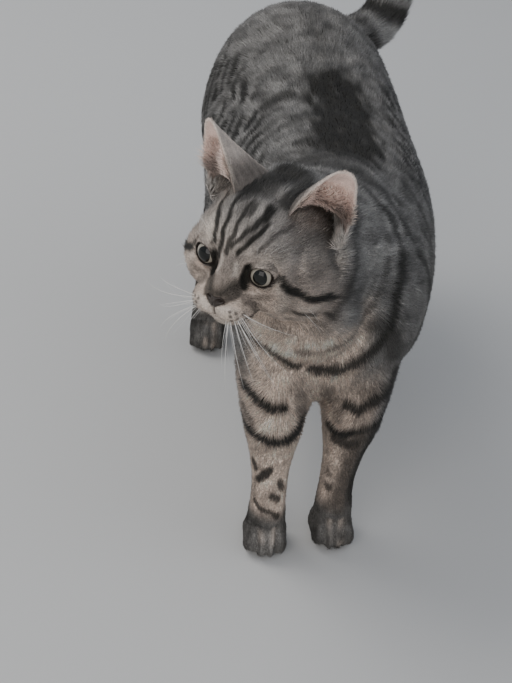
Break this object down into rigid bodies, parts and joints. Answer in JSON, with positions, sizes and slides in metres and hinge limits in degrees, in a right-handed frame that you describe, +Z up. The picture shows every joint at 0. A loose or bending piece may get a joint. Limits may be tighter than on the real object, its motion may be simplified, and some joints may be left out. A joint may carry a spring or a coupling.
{
  "type": "cat",
  "caption": "Life-size still model of a stout short-haired tabby cat, standing with its head turned to its right and its tail raised.",
  "frame": {"origin": "on the floor, under the middle of the whole cat's box", "axes": "+Z up, -Y the way the cat's body faces, +X to the cat's left"},
  "size_m": [0.2788, 0.6064, 0.4618],
  "materials": {
    "coat": "dense short fur, grey and buff with dark brown stripes",
    "eye": "wet and clear, with a pale yellow-green iris and a round black pupil",
    "nose_leather": "matt, finely pebbled dark brown skin",
    "whisker": "stiff white whisker hair"
  },
  "bodies": {
    "root": {"barrel": "coat", "chest": "coat", "ear_left": "coat", "ear_right": "coat", "eye_left": "eye", "eye_right": "eye", "foreleg_left": "coat", "foreleg_right": "coat", "forepaw_left": "coat", "forepaw_right": "coat", "head": "coat", "hindfoot_left": "coat", "hindfoot_right": "coat", "hindpaw_left": "coat", "hindpaw_right": "coat", "jaw": "coat", "neck": "coat", "nose": "nose_leather", "rump": "coat", "shank_left": "coat", "shank_right": "coat", "shoulder_left": "coat", "shoulder_right": "coat", "tail_lower": "coat", "tail_root": "coat", "tail_tip": "coat", "tail_upper": "coat", "thigh_left": "coat", "thigh_right": "coat", "whisker_left_inner": "whisker", "whisker_left_outer": "whisker", "whisker_right_lower": "whisker", "whisker_right_upper": "whisker"}
  },
  "joints": []
}
